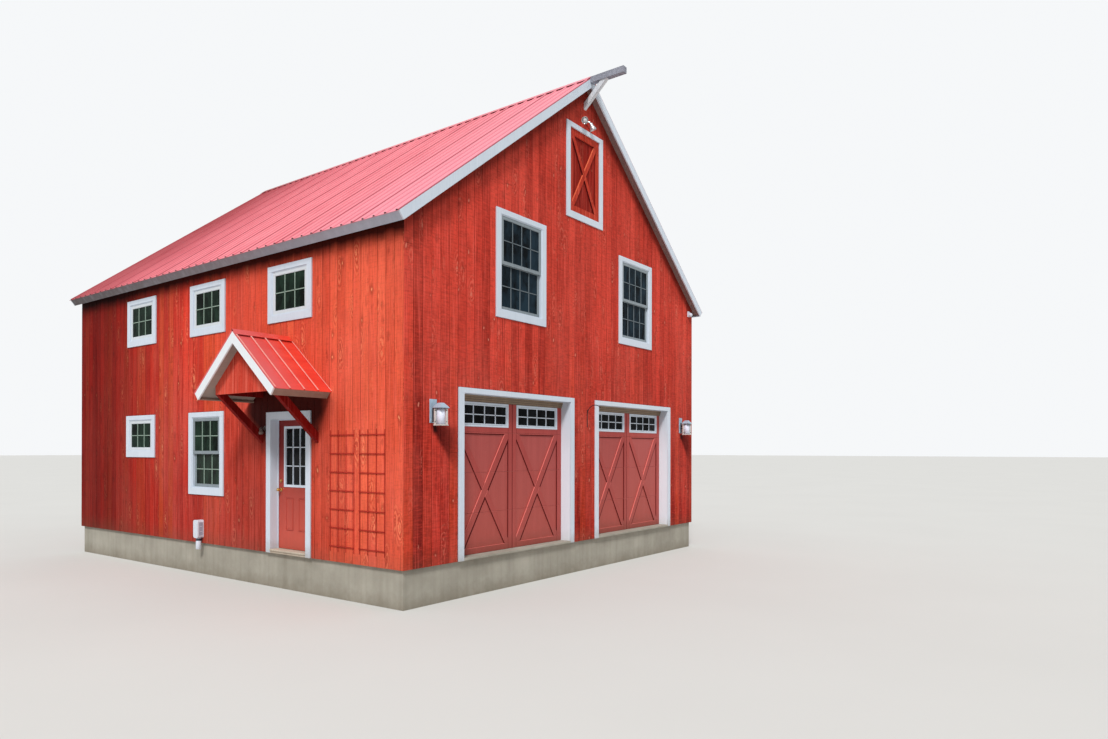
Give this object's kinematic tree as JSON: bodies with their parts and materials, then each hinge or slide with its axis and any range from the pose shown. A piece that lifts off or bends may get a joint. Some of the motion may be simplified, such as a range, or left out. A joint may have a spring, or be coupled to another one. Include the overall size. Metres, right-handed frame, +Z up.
{
  "type": "two-storey gabled barn with garage doors",
  "caption": "Red two-storey gabled barn with two overhead garage doors, a loft door, ribbed metal roof and a side entry door under a bracketed hood.",
  "frame": {"origin": "underside of the front foundation wall, at the middle of its length and thickness", "axes": "+X to the right as seen from the front gable, +Y back along the eave walls, +Z up"},
  "size_m": [9.8786, 10.89, 8.9254],
  "materials": {
    "red_siding": "painted vertical boards, weathered",
    "white_trim": "painted, slightly weathered",
    "eave_paint": "painted, in shade, weathered",
    "grey_sashes": "painted",
    "rose_doors": "painted, matt",
    "red_trellis": "painted, weathered",
    "weathered_timber": "bare, silvered",
    "roof_timber": "bare boards under the roof",
    "floor_timber": "bare boards",
    "concrete": "cast concrete, rough",
    "roof_metal": "painted ribbed sheet, sun-bleached",
    "hood_metal": "painted standing-seam sheet",
    "window_glass": "clear, dark inside",
    "brass_hardware": "satin",
    "lamp_metal": "satin",
    "dark_iron": "matt",
    "white_plastic": "matt"
  },
  "bodies": {
    "barn": {"foundation_wall": "concrete", "floor_slab": "concrete", "upper_floor": "floor_timber", "loft_floor": "floor_timber", "left_wall_front": "red_siding", "left_wall_rear": "red_siding", "left_wall_over_door": "red_siding", "right_wall": "red_siding", "front_pier_left": "red_siding", "front_pier_middle": "red_siding", "front_pier_right": "red_siding", "front_gable_wall": "red_siding", "back_wall": "red_siding", "left_roof_deck": "roof_timber", "right_roof_deck": "roof_timber", "left_roof_sheet": "roof_metal", "right_roof_sheet": "roof_metal", "ridge_cap": "roof_metal", "rake_boards": "white_trim", "eave_boards": "eave_paint", "hoist_beam": "weathered_timber", "hoist_beam_brace": "weathered_timber", "left_garage_door": "rose_doors", "right_garage_door": "rose_doors", "garage_window_frames": "white_trim", "garage_door_glass": "window_glass", "garage_door_casings": "white_trim", "loft_door": "red_siding", "side_door_casing": "white_trim", "side_door_hinge_pins": "brass_hardware", "window_casings": "white_trim", "window_sashes": "grey_sashes", "front_wall_glass": "window_glass", "left_wall_glass": "window_glass", "right_wall_glass": "window_glass", "back_wall_glass": "window_glass", "hood_deck": "roof_timber", "hood_sheet": "hood_metal", "hood_ridge_cap": "hood_metal", "hood_gable_panel": "red_siding", "hood_boards": "white_trim", "hood_braces": "red_siding", "garage_lanterns": "lamp_metal", "porch_lamp": "lamp_metal", "floodlights": "lamp_metal", "corner_lamp": "white_plastic", "plant_hook": "dark_iron", "utility_box": "white_plastic", "trellis_panels": "red_trellis"},
    "door": {"side_door": "rose_doors", "side_door_window_frame": "white_trim", "side_door_glass": "window_glass", "side_door_hardware": "brass_hardware", "side_door_hinge_leaves": "brass_hardware"}
  },
  "joints": [
    {"name": "side_door_hinge", "type": "hinge", "parent": "barn", "child": "door", "pos_m": [-4.161, 1.995, 1.65], "axis": [0, 0, -1], "range_deg": [0, 100]}
  ]
}
